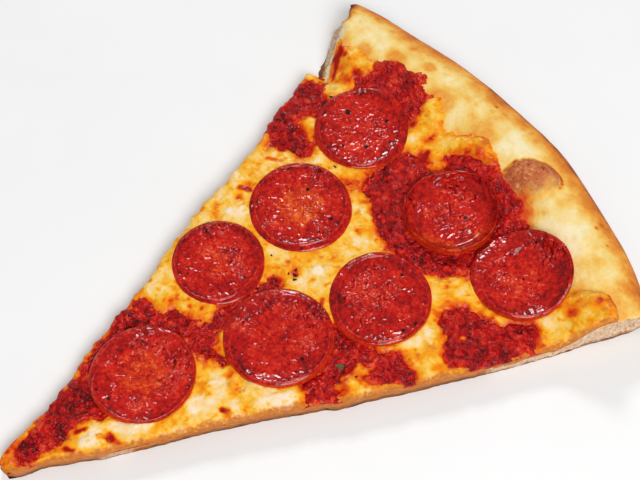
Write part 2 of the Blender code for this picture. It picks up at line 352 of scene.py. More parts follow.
bake = 0.15 + 0.16 * rough(x, y, 16, 61) + 0.12 * rough(x, y, 5, 64)
bake = bake + 0.42 * smooth((outer + 10.5) / 9.0) + 0.30 * smooth((outer + 2.0) / 2.6)
bake = bake + 0.24 * grease + 0.18 * spots(x, y, GREASY, 0.9) + 0.12 * speckled(x, y, 3.1, 67, 0.08)
bake = bake - 0.10 * spots(x, y, CREAM_RIM, 1.0) + 0.22 * spots(x, y, GOLD_RIM, 0.8)
bake = bake + 0.45 * spots(x, y, RIM_SPECKS, 0.8)
bake = np.where(outer < -9, np.minimum(bake, 0.46), bake)
# The groove on the far side of the blister is painted dark: painted shade in the crease.
bake = bake + 0.10 * golden + 0.66 * groove - 0.25 * tear
left_rim = np.where(side < 0, smooth((radius - 176) / 8), 0)
bake = bake + 0.55 * left_rim * np.exp(-from_cut / 0.9) + 0.3 * spots(x, y, ((-77, 183, 4),), 0.8)
top_bake = bake + 0.40 * smooth((7 - radius) / 5)
stain = np.maximum(0.24 * fading(past_toppings, 3.0), 0.85 * spots(x, y, STAINED, 1.0))
stain = stain + 0.1 * rough(x, y, 3, 69)

# The foot: flat on the stone, and rounded up to the rim's outermost line.
foot_radius = np.broadcast_to(foot_path[:, :1], side.shape)
x, y = on_slice(foot_radius, side, top_path[:, 1:] - foot_path[:, 1:])
foot = np.stack([x, y, np.broadcast_to(foot_path[:, 1:], side.shape)], -1)


PORE_SPACING, PORE_DEPTH, PORE_SHARE = 2.2, 0.7, 0.45
CRUMB_TORN, CRUMB_GRAIN = 0.30, 0.14


def crumb_wall(edge_side):
    """The crumb at a cut: rows between the top edge and the foot, with pores pushed in.

    A row's place is its share of the way down; the push is square to the cut: gradient noise,
    less a pit round about half of the scattered points. Also gives how oily each place is, from
    its radius, and its share of the way down.
    """
    column = 0 if edge_side < 0 else -1
    down = np.linspace(0, 1, WALL_ROWS + 2)[1:-1]
    upper, lower = top[:, column, None], foot[:, column, None]
    wall = upper + (lower - upper) * down[None, :, None]
    along_cut, wall_height = wall[..., 1], wall[..., 2]
    drop = upper[..., 2] - wall_height
    fall = radius[:, :WALL_ROWS] + (foot_radius - radius)[:, :WALL_ROWS] * down
    lean_x, lean_y = on_slice(fall, np.full_like(fall, edge_side), drop)
    shift = edge_side * 40  # so that the two cuts differ
    away, number = grains(along_cut + shift, wall_height * 1.5, PORE_SPACING, 41)
    pore = smooth((0.42 - away) / 0.25) * (number > PORE_SHARE)
    torn = CRUMB_TORN * rough(along_cut + shift, wall_height * 2, 3.0, 43)
    torn = torn + CRUMB_GRAIN * rough(along_cut + shift, wall_height * 2, 1.0, 47)
    calm = smooth(down / 0.15) * smooth((1 - down) / 0.15) * smooth(fall / 12) * seam
    push = (torn - PORE_DEPTH * pore * (0.4 + 0.6 * smooth((fall - 160) / 20))) * calm
    wall[..., 0] = lean_x + push * edge_side * math.cos(HALF_ANGLE)
    wall[..., 1] = lean_y - push * math.sin(HALF_ANGLE)
    oily = 1 - smooth((fall - 140) / 16) - 0.6 * smooth((fall - 24) / 6) * smooth((42 - fall) / 6)
    return wall, oily + 0.2 * torn, np.broadcast_to(down, pore.shape)


right_wall, right_oily, right_down = crumb_wall(1)
left_wall, left_oily, left_down = crumb_wall(-1)
crust_points = np.concatenate([top, right_wall, foot[:, ::-1], left_wall[:, ::-1]], 1)


def round_the_slice(on_top, at_right, at_foot, at_left):
    """One mask's values in the order of the crust's points: top, right cut, foot, left cut."""
    flat, wall = np.zeros(side.shape), np.zeros(right_oily.shape)
    left = np.fliplr(at_left + wall)
    return np.concatenate([on_top + flat, at_right + wall, at_foot + flat, left], 1)


crust_masks = {
    "bake": round_the_slice(top_bake * (1 - tear), right_oily, 0.8, left_oily),
    "crumb": round_the_slice(0.35 * tear, 1, 0, 1),
    "stain": round_the_slice(stain, 0, 0, 0),
    "scab": round_the_slice(browned, 0, 0, 0),
    "down": round_the_slice(0, right_down, 1, left_down),
}


def put(value, socket):
    """Sets a socket to a value, or links it where the value is another node's socket."""
    if isinstance(value, bpy.types.NodeSocket):
        socket.id_data.links.new(value, socket)
    else:
        socket.default_value = value


def node(beside, kind, **sockets):
    """Adds a shader node to the tree of another node's socket, and puts its sockets, by name."""
    new = beside.id_data.nodes.new(kind)
    for name, value in sockets.items():
        put(value, new.inputs[name])
    return new


def new_material(name, roughness, specular):
    """A material, its Principled shader, and the piece's Object coordinates."""
    material = bpy.data.materials.new(name)
    material.use_nodes = True
    shader = material.node_tree.nodes["Principled BSDF"]
    put(roughness, shader.inputs["Roughness"])
    put(specular, shader.inputs["Specular IOR Level"])
    return material, shader, node(shader, "ShaderNodeTexCoord").outputs["Object"]


def mask(place, name):
    """Reads one of the piece's own masks."""
    attribute = node(place, "ShaderNodeAttribute")
    attribute.attribute_name = name
    return attribute.outputs["Fac"]


def noise(place, size, detail=3.0, rough_share=0.55, warp=0.0):
    """Noise from 0 to 1, whose lumps are about `size` mm across."""
    return node(
        place, "ShaderNodeTexNoise", Vector=place, Scale=1 / MM / size, Detail=detail,
        Roughness=rough_share, Distortion=warp,
    ).outputs["Fac"]


def reckon(operation, first, *others):
    """One step of arithmetic on a socket and other sockets or values."""
    new = node(first, "ShaderNodeMath")
    new.operation = operation
    for value, socket in zip((first, *others), new.inputs):
        put(value, socket)
    return new.outputs[0]


def swayed(value, *noises):
    """A value with noises added, each a (noise socket, amount) whose middle adds nothing."""
    for noise_socket, amount in noises:
        offset = reckon("MULTIPLY_ADD", noise_socket, amount, -amount / 2)
        value = reckon("ADD", value, offset)
    return value


def from_srgb(colour):
    """Linear light from a colour on the everyday 0 to 255 scale."""
    share = np.array(colour, float) / 255
    return tuple(np.where(share <= 0.04045, share / 12.92, ((share + 0.055) / 1.055) ** 2.4))


def ramp(value, *stops):
    """A colour for each value, blended between stops of (value, (red, green, blue))."""
    new = node(value, "ShaderNodeValToRGB", Fac=value)
    elements = new.color_ramp.elements
    while len(elements) < len(stops):
        elements.new(1.0)
    for element, (position, colour) in zip(elements, stops):
        element.position = position
        element.color = (*from_srgb(colour), 1)
    return new.outputs["Color"]


def step_up(value, low, high):
    """0 where a value is below `low`, 1 above `high`, smooth in between."""
    new = node(value, "ShaderNodeMapRange", Value=value)
    new.interpolation_type = "SMOOTHSTEP"
    put(low, new.inputs["From Min"])
    put(high, new.inputs["From Max"])
    return new.outputs["Result"]


def mixed(share, under, over):
    """Colour `under` overlaid with colour `over`, by a share from 0 to 1."""
    new = node(share, "ShaderNodeMix")
    new.data_type = "RGBA"
    share_socket, under_socket, over_socket = new.inputs[0], new.inputs[6], new.inputs[7]
    put(share, share_socket)
    put(under, under_socket)
    put(over, over_socket)
    return new.outputs[2]


def surface(shader, colour, *layers):
    """Gives a shader its colour and its bumps: layers of (height socket, depth in mm)."""
    put(colour, shader.inputs["Base Color"])
    under = shader.inputs["Normal"]
    for height, depth in reversed(layers):
        bump = node(shader, "ShaderNodeBump", Height=height, Distance=depth * MM)
        put(bump.outputs["Normal"], under)
        under = bump.inputs["Normal"]


def baked_dough():
    """Baked crust, from cream through gold to brown by how far it baked, and its pale crumb; the blister's
    painted light and shade ride in the same masks.
    """
    material, shader, place = new_material("baked_dough", 0.62, 0.15)
    fine, broad = noise(place, 1.6, 5, 0.7), noise(place, 7.0, 4, 0.6)
    baked = swayed(mask(place, "bake"), (fine, 0.34), (broad, 0.20))
    crust = ramp(
        baked, (0.00, (252, 236, 190)), (0.16, (250, 220, 144)), (0.30, (247, 200, 100)),
        (0.48, (238, 154, 54)), (0.66, (214, 116, 38)), (0.84, (160, 80, 34)), (1.00, (98, 48, 22)),
    )
    stained = swayed(mask(place, "stain"), (fine, 0.6))
    fat = ramp(stained, (0.10, (250, 204, 92)), (0.45, (242, 154, 52)), (0.80, (218, 82, 32)))
    crust = mixed(step_up(stained, 0.10, 0.60), crust, fat)
    wrinkled = swayed(fine, (noise(place, 2.2, 3, 0.6, 1.5), 0.8))
    scab = ramp(
        wrinkled, (0.20, (140, 56, 28)), (0.42, (188, 94, 54)), (0.62, (212, 126, 76)),
        (0.85, (242, 188, 124)),
    )
    # The scab mask is the blister's browning, with its far side painted darker as shade.
    scabbed = swayed(mask(place, "scab"), (fine, 0.4))
    crust = mixed(step_up(scabbed, 0.15, 0.85), crust, scab)
    crumb = ramp(
        noise(place, 1.2, 4, 0.65), (0.25, (150, 108, 76)), (0.45, (210, 172, 138)),
        (0.62, (234, 206, 174)), (0.80, (250, 236, 214)),
    )
    scorch = ramp(
        noise(place, 4.0, 4, 0.6), (0.30, (70, 38, 22)), (0.50, (128, 76, 40)),
        (0.70, (190, 132, 78)),
    )
    oiled = ramp(
        swayed(mask(place, "down"), (fine, 0.5)), (0.10, (208, 134, 58)),
        (0.40, (182, 110, 54)), (0.70, (152, 92, 50)), (0.95, (92, 54, 32)),
    )
    oily = step_up(swayed(mask(place, "bake"), (fine, 0.7)), 0.25, 0.75)
    crumb = mixed(oily, crumb, oiled)
    colour = mixed(mask(place, "crumb"), crust, crumb)
    foot_share = swayed(mask(place, "down"), (fine, 0.3))
    colour = mixed(step_up(foot_share, 0.78, 0.96), colour, scorch)
    surface(shader, colour, (broad, 0.5), (fine, 0.35), (noise(place, 0.6), 0.06))
    return material


crust = piece_from(
    "baked_crust", crust_points, quads(*crust_points.shape[:2], closed=True), crust_masks,
    baked_dough(),
)
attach(crust, "root")
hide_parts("crust")

# ------------------------------------------------------------------ the tomato sauce
# Crushed tomato, cooked down and spread over the dough in a thin coat that shows as a red line at
# the cuts. Where no cheese fell, and where it was ladled on more thickly, it lies bare in lumpy,
# wet patches that stand nearly as high as the cheese.
SAUCE_COAT_BOTTOM, SAUCE_COAT_TOP, SAUCE_PATCH_TOP = 0.25, 1.3, 2.5
SAUCE_EDGE = 178.0

BARE_SAUCE = (  # strokes that run together: x0, y0, x1, y1, radius
    (-0.8, 9, -1.6, 13, 4.0), (-2.0, 15, -3.4, 21, 5.2), (-5.0, 25, -6.8, 31, 6.4), (-6, 32, 1, 33, 3),
    (-22, 61, -15, 61, 3.9), (-21, 55, -17, 55, 4.6), (-18.5, 50, -17, 46, 2.6),
    (-16.5, 45, -14, 37, 2.2), (-11, 68, -2, 69, 4.4), (-11, 63, -13, 58, 2.6), (0, 69, 9, 71.5, 2.7),
    (-3, 74, -4, 99, 3.2),
    (27, 108, 32, 97, 4.6), (32, 92, 37, 92, 3.6), (30, 88, 32, 90, 2.6),
    (39, 114, 45, 113, 3.4), (40, 109, 38.5, 104.5, 2.7),
    (41, 139.5, 54, 140, 5.0), (56, 149, 57.5, 151, 4.2), (56, 137, 56.5, 146, 3.7),
    (49.5, 134, 49, 128.5, 3.5), (37.5, 135, 41, 136, 2.6),
    (9, 158, 9.1, 158, 22.4), (-8, 147, 0, 142, 6.0), (1, 172, 17, 173, 8.6), (25, 171, 26, 172, 5),
    (-14, 160, -13, 147, 5.6),
    (-43, 174, -33.5, 174, 7.8), (-37, 181, -35.5, 182.5, 2.6), (-47, 167, -43, 167, 4.5),
    (-57, 151.5, -52, 150, 5.8), (-55, 143, -53, 138, 5.2), (-48, 136, -41, 136, 5.4),
    (-52, 133, -46, 132, 3.6), (-19, 140.5, -17, 139.5, 1.7),
    (22, 105, 27, 103, 3.4), (31, 107.5, 36.5, 110, 3.0), (39.5, 105.5, 41.5, 108, 3.0),
    (42, 112, 45, 113.5, 3.2), (34, 86, 34, 88.5, 2.6), (38, 136.3, 45, 132, 2.8),
    (47, 131, 53, 133, 3.6), (47, 142.5, 53, 147, 3.0), (52, 150, 56.5, 153, 2.4),
)
CHEESE_ON_SAUCE = (
    (-7.5, 77.5, -6.5, 76.5, 1.8), (-48, 144.5, -41, 140.6, 1.3), (35.2, 98, 37.4, 107, 0.9),
    (42.2, 145, 47.6, 147.4, 0.9), (-63, 157.5, -61, 157, 2.2), (-9, 168, -14, 168.5, 3.0),
)


def bare_depth(x, y):
    """Depth in mm inside the bare sauce, less than 0 outside it, along ragged edges."""
    depth = inside(x, y, BARE_SAUCE, 1.0) - 0.6
    depth = np.minimum(depth, -inside(x, y, CHEESE_ON_SAUCE, 0.5))
    return depth + 1.0 * rough(x, y, 6.0, 101) + 0.7 * rough(x, y, 1.9, 105)


PEPPERONI = tuple(f"pepperoni_{number}" for number in range(1, 9))


def node_middle(name):
    """x, y and radius of a round node, from its box, in mm on the pizza."""
    low, high = (np.array(corner) - pizza_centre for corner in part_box(name))
    middle = (low + high) / 2 / MM
    return middle[0], middle[1], (high - low)[:2].sum() / 4 / MM


PRESS_BLEND = 2.6  # over this far inside its edge, a slice of sausage comes to press in full


def pressed(x, y):
    """Share, 0 to 1, by which the weight of a slice of sausage pressed the toppings down here."""
    share = 0.0 * x
    for name in PEPPERONI:
        middle_x, middle_y, wide = node_middle(name)
        inward = wide - np.hypot(x - middle_x, y - middle_y)
        share = np.maximum(share, smooth(inward / PRESS_BLEND))
    return share


def rounded_over(from_cut, reach, fall):
    """How far a soft topping's surface falls near a cut: a quarter of an ellipse."""
    return fall * (1 - np.sqrt(1 - (1 - np.clip(from_cut / reach, 0, 1)) ** 2))


def sheet(start, end, rows, columns):
    """A grid over the slice, from one radius to another, and where each of its points lies.

    Gives radius and side, then x, y and the height of the dough under the point, then its
    distance along the curve from the nearer cut, and its depth inside the toppings' end.
    """
    radius = np.linspace(start, end, rows)[:, None]
    radius, side = np.broadcast_arrays(radius, np.linspace(-1, 1, columns))
    x, y, under = ground(radius, side)
    return radius, side, x, y, under, radius * HALF_ANGLE * (1 - np.abs(side)), topping_reach(x, y)


FILL_ROUNDS = 3


def closed_sheet(upper, lower, keep):
    """Points and faces of a solid between two grids, where the faces marked to keep are.

    The kept faces are made above and below, and a wall joins them along every edge that has a
    kept face on one side only. Gaps that touch at a corner alone are filled in first, which can
    make new ones, so that is done FILL_ROUNDS times.
    """
    for _ in range(FILL_ROUNDS):
        a, b, c, d = keep[:-1, :-1], keep[1:, 1:], keep[:-1, 1:], keep[1:, :-1]
        fill, other = a & b & ~c & ~d, c & d & ~a & ~b
        keep[:-1, 1:] |= fill
        keep[:-1, :-1] |= other
    rows, columns = upper.shape[:2]
    count = rows * columns
    index = np.arange(count).reshape(rows, columns)
    kept = quads(rows, columns)[keep]
    padded = np.pad(keep, 1)
    down = padded[1:-1, :-1] != padded[1:-1, 1:]
    over = padded[:-1, 1:-1] != padded[1:, 1:-1]
    start = np.append(index[:-1][down], index[:, :-1][over])
    end = np.append(index[1:][down], index[:, 1:][over])
    walls = np.stack([start, end, end + count, start + count], -1)
    return np.concatenate([upper, lower]), np.concatenate([kept, kept[:, ::-1] + count, walls])


def face_mean(values):
    """The mean of a grid's values at the four corners of each face."""
    return (values[:-1, :-1] + values[1:, 1:] + values[:-1, 1:] + values[1:, :-1]) / 4


def tomato():
    """Wet crushed tomato: crimson pulp that varies at random, darker in the hollows between lumps as painted
    shade and paler on their tops as painted light.
    """
    material, shader, place = new_material("tomato_sauce", 0.13, 0.22)
    pulp, lumps = noise(place, 1.4, 4, 0.6), noise(place, 5.0, 3)
    tone = swayed(mask(place, "tone"), (pulp, 1.6), (lumps, 0.5))
    colour = ramp(
        tone, (0.05, (96, 2, 4)), (0.32, (152, 5, 7)), (0.54, (184, 12, 11)),
        (0.78, (210, 36, 20)), (1.00, (228, 78, 36)),
    )
    surface(shader, colour, (noise(place, 1.8, 2, 0.5, 1.0), 1.3), (noise(place, 1.0, 1, 0.4), 0.3))
    return material


tomato_sauce = tomato()

# The coat: an even sheet, wavy by a tenth of a millimetre.
SAUCE_START, PATCH_END = 1.4, 188.5
COAT_ROWS, COAT_COLUMNS, PATCH_ROWS, PATCH_COLUMNS = 96, 72, 360, 270
COAT_WAVE, COAT_TONE = 0.1, 0.45

radius, side, x, y, under, from_cut, reach = sheet(SAUCE_START, SAUCE_EDGE, COAT_ROWS, COAT_COLUMNS)
coat_height = SAUCE_COAT_BOTTOM + (SAUCE_COAT_TOP - SAUCE_COAT_BOTTOM) * smooth((reach + 0.5) / 6)
coat_top = under + coat_height + COAT_WAVE * ripple(x, y, 4, 111) - rounded_over(from_cut, 0.8, 0.3)
coat_points, coat_faces = closed_sheet(
    np.stack([x, y, coat_top], -1), np.stack([x, y, under - 0.2], -1),
    face_mean(reach) > 1.2,
)
coat_tone = np.full(coat_points.size // 3, COAT_TONE)
coat = piece_from("sauce_coat", coat_points, coat_faces, {"tone": coat_tone}, tomato_sauce)

# The bare patches: lumps of pulp, highest a little way in from the edge of each patch.
LUMP_SPACING, GRAIN_SPACING = 2.5, 1.15
LUMP_HEIGHT, GRAIN_HEIGHT, SWELL_HEIGHT, PRESSED_BY = 0.62, 0.24, 0.40, 1.3

radius, side, x, y, under, from_cut, reach = sheet(SAUCE_START, PATCH_END, PATCH_ROWS, PATCH_COLUMNS)
bare = bare_depth(x, y)
strayed_x, strayed_y = x + 0.5 * ripple(x, y, 2, 126), y + 0.5 * ripple(x, y, 2, 127)
away, number = grains(strayed_x, strayed_y, LUMP_SPACING, 121)
lumps = LUMP_HEIGHT * smooth((0.80 - away) / 0.6) * (0.3 + number)
lumps = lumps + GRAIN_HEIGHT * smooth((0.7 - grains(x, y, GRAIN_SPACING, 123)[0]) / 0.5)
lumps = lumps + SWELL_HEIGHT * rough(x, y, 5.5, 125)
level = smooth((bare + 2.2) / 3.4)
on_rim = smooth((radius - 172) / 9)
patch_top = 0.9 + (SAUCE_PATCH_TOP - 0.9 - 0.9 * on_rim) * level
patch_top = patch_top + lumps * smooth((bare + 1) / 1.6) * (1 - 0.60 * on_rim)
patch_top = patch_top - rounded_over(from_cut, 1.5, 0.9) * smooth(bare + 0.6)
under_cheese = smooth((reach + 1) / 2)
patch_top = patch_top * (under_cheese + (1 - under_cheese) * smooth((bare + 0.2) / 1.8))
# The tone follows the lumps' height: darker in the hollows as painted shade, paler on the tops as painted
# light. It is also paler near a patch's edge and on the rim, and darker deep inside a patch.
tone = 0.45 + 0.55 * (lumps - 0.35) + 0.12 * ripple(x, y, 9, 131)
tone = tone + 0.28 * smooth((0.9 - bare) / 1.6) - 0.10 * smooth((bare - 1) / 2) + 0.10 * on_rim
patch_top = np.maximum(patch_top - PRESSED_BY * pressed(x, y), np.minimum(patch_top, 0.8))
bulge = 0.25 * np.sign(side) * np.exp(-from_cut / 0.7)
patch_points, patch_faces = closed_sheet(
    np.stack([x + bulge, y, under + patch_top], -1),
    np.stack([x, y, under + 0.5 - 1.3 * on_rim], -1),
    (face_mean(bare) > -1.9) & (face_mean(np.maximum(reach, bare - 0.1)) > -0.2),
)
patch_tone = np.append(tone, tone)
patches = piece_from("bare_sauce", patch_points, patch_faces, {"tone": patch_tone}, tomato_sauce)
for piece in (coat, patches):
    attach(piece, "root")
    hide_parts("sauce")

# ------------------------------------------------------------------ the melted cheese
# Grated mozzarella, melted to one sheet over the sauce. It is cream where the curd is thick, and
# yellow, orange or red where fat and sauce came up through it. It browned in blisters, and it runs
# up on the rim in tongues.
CHEESE_BOTTOM, CHEESE_THICKNESS = 1.0, 0.9
CHEESE_START, CHEESE_END, CHEESE_ROWS, CHEESE_COLUMNS = 1.2, 190.5, 286, 216
LIP_WIDTH, CURD_HEIGHT, RED_HOLLOW, BUBBLE_HEIGHT, BUBBLE_RING = 1.3, 0.42, 0.30, 0.30, 0.12
OVER_CUT, FAT_RING = 1.6, 0.35  # how far it hangs over a cut, and stands up round the sausage

CREAM = (  # where the curd is thick: x, y, radius
    (-21, 67.5, 5), (-31, 104, 5), (-44, 129, 5), (-32, 137, 4), (-6, 137.5, 4), (7, 28, 4),
    (3, 33, 3), (12, 37, 5), (16, 67, 5), (18, 60, 4.5), (32, 79, 4.5), (27, 144, 3.5), (31, 82, 4),
    (56.5, 159, 3.5), (-12, 71, 3), (39, 128, 4), (-59, 163, 4), (24, 79, 3),
    (-8, 139, 3), (24, 66, 4), (13, 41, 4), (38, 99, 2.4), (46, 146, 2.5),
)
CREAM_ROLLS = (  # strokes: x0, y0, x1, y1, half width
    (5, 31.5, 9.5, 35.5, 1.5), (9.5, 35.5, 13, 43, 1.4), (6.4, 24, 7.4, 26, 1.4), (4, 28, 4.4, 30.5, 1.2),
    (15.8, 56, 16.6, 59, 2.2), (13.6, 64, 14.6, 66.5, 1.6), (27.5, 72, 30.5, 81, 1.8),
    (20.5, 75, 23, 79, 1.3), (-24.5, 67, -20.5, 69.5, 2.2), (-33, 102, -31, 106, 1.8),
    (-46, 128, -41, 130.5, 1.6), (37.5, 119, 38.8, 123, 1.2), (46.8, 121, 47, 124.5, 1.2),
    (26.8, 141, 29.6, 146, 1.3), (43, 145.3, 47, 147, 1.0), (-8, 137, -5, 139, 1.6), (0.5, 112, 3, 116, 1.4),
)
RED_RUNS = (
    (7.6, 28.4, 9.2, 30.4, 0.9), (9, 31, 13, 32, 1.1), (5, 18.5, 7, 20, 0.7), (2.5, 24, 3.2, 27, 0.7),
    (22, 62.5, 23.2, 64, 0.9), (-30.5, 98, -27.5, 99.5, 0.6), (-39, 110, -36, 112, 0.9),
    (-43, 124, -39.5, 127, 0.7), (-13, 167, -14, 169, 0.6),
    (-57.6, 161.8, -61.8, 166.6, 0.7), (-62.2, 167, -66, 173.5, 0.8), (10, 108, 13, 104.5, 0.7),
)
YELLOW = (
    (17, 52, 7), (22, 73, 5), (33, 142, 5), (-45, 121, 5), (0, 117, 5), (26, 72, 4), (12, 62, 4),
    (-5, 105, 4), (-16, 142, 3), (2, 110, 4), (66, 168, 5), (-48, 174, 5), (-9, 180, 5), (58, 170, 4),
    (-41, 118, 4), (-24, 72, 3), (37, 143, 3), (40, 124, 3),
)
ORANGE = (
    (62, 172, 6), (66, 177, 5), (67, 168, 5), (57, 166, 4), (35, 101, 3), (-18, 70.5, 4), (5, 66, 4),
    (9, 21, 4), (0, 121, 4), (-36, 98, 4), (-39, 107, 4), (-20, 172, 6), (48, 122, 4), (52, 130, 4),
    (61, 166, 5), (-57, 168, 5), (-3, 183, 5), (25, 63, 3), (19, 69, 4), (38, 96, 3), (-3, 107, 3),
    (-39, 112.5, 3.5), (48, 113, 3), (44, 104, 3), (21, 44, 3),
)
RED = (
    (63.2, 173, 3.8), (66.4, 178, 4.0), (59.8, 166, 3.2), (-3, 183, 1.6), (24.3, 63, 2.2),
    (-2, 106, 2.6), (22, 62.5, 1.6), (-38, 112.5, 3.2), (-3, 132, 3.4), (-17, 171, 3), (10, 31, 2.2),
    (12.5, 28, 1.8), (8.5, 21.5, 1.4), (-61.5, 169, 2.4), (-58, 165, 2.4), (-55.5, 162, 2.4),
    (-63.5, 172, 2), (-53, 168, 3), (-38, 100, 2.2), (24, 63, 2), (14, 70, 2.2), (-25, 171, 3),
    (33, 100, 3), (-14, 167, 4), (-54, 164, 3), (-47, 128, 2.5), (53, 136, 2), (-36, 108, 2.5),
)
BLISTERS = (  # x, y, radius, how dark
    (24.3, 63, 2.0, 0.35), (17, 69, 2.0, 0.5), (43, 126, 2.6, 0.55), (63.2, 173, 3.2, 0.2),
    (66.4, 178, 3.2, 0.3), (59.8, 166, 2.6, 0.1), (-25, 185.5, 2.4, 0.3), (-3, 183, 2.8, 0.6),
    (20.5, 71, 1.5, 0.5), (-45, 127, 1.6, 0.5), (-7, 172, 1.8, 0.4), (2, 116, 1.6, 0.2),
    (-36.5, 96, 1.6, 0.4), (48, 119, 1.6, 0.35), (60, 169.5, 1.8, 0.5),
)
BARE_CUT = ((16, 34, 9), (60, 152, 7))  # where no cheese hangs over the right cut: x, y, radius
RED_LIP = ((-10, 180, 8), (0, 184, 9), (9, 181, 7))  # where the edge of the cheese took up sauce

# The lie of the sheet: how far each place is inside it, and the curd, runs and lip there.
radius, side, x, y, under, from_cut, reach = sheet(
    CHEESE_START, CHEESE_END, CHEESE_ROWS, CHEESE_COLUMNS
)
cover = np.minimum(-bare_depth(x, y), reach)
inner = smooth((reach + 0.5) / 7)
floor_level = SAUCE_PATCH_TOP * inner + 0.05
lip = np.where(cover > 0, 1 - np.exp(-np.clip(cover, 0, 40) / LIP_WIDTH), cover / LIP_WIDTH)
rolls = smooth((inside(x, y, CREAM_ROLLS, 0.5) + 0.35 * ripple(x, y, 2.5, 243) + 0.9) / 1.8)
runs = smooth((inside(x, y, RED_RUNS, 0.4) + 0.35 * ripple(x, y, 1.8, 244) + 0.6) / 1.2)
cream = np.maximum(spots(x, y, CREAM, 1.0), rolls) * smooth((cover - 0.3) / 1.5)
yellow, orange, red = (spots(x, y, places, 1.0) for places in (YELLOW, ORANGE, RED))

# Its height: swells, thick curd, hollows where it is red, and the domes of the blisters.
relief = 0.30 * rough(x, y, 8, 211) + 0.13 * rough(x, y, 2.6, 214) + 0.06 * ripple(x, y, 1.4, 219)
relief = relief + CURD_HEIGHT * cream + 0.10 * yellow - RED_HOLLOW * red
brown = 0.0 * x
for bx, by, size, dark in BLISTERS:
    away = np.hypot(x - bx, y - by) / size + 0.45 * rough(x, y, 3.2, 221)
    relief = relief + BUBBLE_HEIGHT * np.sqrt(np.clip(1 - away**2, 0, 1))
    relief = relief - BUBBLE_RING * bell(away - 1.15, 0.2)
    brown = np.maximum(brown, dark * smooth((1.2 - away) / 1.0))
top_height = floor_level + CHEESE_THICKNESS * lip + relief * smooth(cover / 1.5)
top_height = top_height - rounded_over(from_cut, 2.2, 1.5) * (0.3 + 0.7 * inner)
hang = smooth((1.3 - from_cut) / 1.3) * smooth(0.75 + 0.7 * ripple(x, y, 8, 226)) * inner
hang = hang * np.where(side > 0, 1 - spots(x, y, BARE_CUT, 0.6), 1.0)
bottom_height = CHEESE_BOTTOM * inner - 0.9 * (1 - inner) - OVER_CUT * hang
oil = 0.0 * x
for name in PEPPERONI:
    middle_x, middle_y, wide = node_middle(name)
    oil = np.maximum(oil, np.exp(-np.abs(np.hypot(x - middle_x, y - middle_y) - wide)))
top_height = top_height + FAT_RING * oil * inner - PRESSED_BY * pressed(x, y)

# What it took up, from 0 for pure curd to 1 for fat and sauce, and how it toasted at the cut.
melt = 0.30 + 0.20 * rough(x, y, 7, 231) + 0.10 * rough(x, y, 2.4, 234) + 0.06 * ripple(x, y, 1.2, 238)
melt = melt - 0.22 * cream + 0.07 * yellow + 0.17 * orange + 0.36 * red + 0.50 * runs
melt = melt + (0.46 - 0.22 * smooth(1.5 - reach / 4)) * np.exp(-np.clip(cover, 0, 50) / 1.9)
melt = melt + 0.10 * oil + 0.22 * smooth((rough(x, y, 2.2, 241) - 0.42) / 0.35)
specks = 0.30 * speckled(x, y, 2.7, 243, 0.20) * smooth(cover / 2)
melt = melt + specks * smooth(0.3 + 1.2 * rough(x, y, 14, 245))
melt = melt + 0.22 * bell(cover - 1.0, 0.8) * spots(x, y, RED_LIP, 0.5)
melt = melt + 0.05 * np.exp(-from_cut / 1.5) + 0.26 * smooth((11 - radius) / 8)
toasted = 0.66 * smooth(1.1 - from_cut / 2.2 + 0.35 * rough(x, y, 4, 253)) * (side > 0)

bulge = (0.14 + 0.12 * ripple(x, y, 7, 251) + 0.10 * hang) * np.sign(side) * np.exp(-from_cut / 1.2)
cheese_points, cheese_faces = closed_sheet(
    np.stack([x + bulge, y, under + top_height], -1),
    np.stack([x + bulge, y, under + bottom_height], -1),
    face_mean(cover) > -1.3,
)


def molten():
    """Melted cheese by what it took up: cream, yellow, orange and red, and browned over that."""
    material, shader, place = new_material("melted_cheese", 0.28, 0.16)
    fine, broad = noise(place, 1.2, 5, 0.7), noise(place, 4.0, 4, 0.6)
    took_up = swayed(mask(place, "melt"), (fine, 0.40), (broad, 0.28))
    colour = ramp(
        took_up, (0.02, (253, 228, 194)), (0.18, (251, 213, 148)), (0.33, (250, 196, 72)),
        (0.47, (247, 168, 28)), (0.60, (241, 136, 16)), (0.76, (225, 82, 12)), (0.92, (186, 32, 10)),
        (1.00, (160, 20, 10)),
    )
    singed = ramp(
        swayed(mask(place, "brown"), (fine, 0.5)), (0.0, (245, 176, 64)),
        (0.45, (226, 138, 42)), (0.75, (186, 104, 38)), (1.0, (130, 68, 26)),
    )
    share = swayed(mask(place, "brown"), (fine, 1.0))
    colour = mixed(step_up(share, 0.15, 0.75), colour, singed)
    put(0.08, shader.inputs["Subsurface Weight"])
    put((1.0, 0.5, 0.2), shader.inputs["Subsurface Radius"])
    put(1.2 * MM, shader.inputs["Subsurface Scale"])
    surface(shader, colour, (noise(place, 4.0, 1, 0.4), 0.8), (noise(place, 1.3, 1, 0.4), 0.35))
    return material


MELT_UNDER, BROWN_RIGHT, BROWN_LEFT = 0.40, 0.80, 0.45  # the underside, which shows at the cuts
cheese_masks = {
    "melt": np.append(melt, np.full(side.shape, MELT_UNDER)),
    "brown": np.append(np.maximum(brown, toasted), np.where(side > 0, BROWN_RIGHT, BROWN_LEFT)),
}
cheese = piece_from("melted_cheese", cheese_points, cheese_faces, cheese_masks, molten())
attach(cheese, "root")
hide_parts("cheese")

# ------------------------------------------------------------------ the pepperoni
# Thin slices of dry-cured sausage: minced pork and beef, red with paprika, dotted with white fat.
# They sank a little into the cheese. In the oven their edges curled up and folded over, their
# middles sagged into a shallow dish, and the melted fat left them glossy.
BED_HEIGHT = 2.2  # of the underside above the dough
SLICE_THICKNESS = 1.6
TURNS, RINGS_MIDDLE, RINGS_RIDGE, RINGS_EDGE, RINGS_UNDER = 236, 34, 24, 7, 3

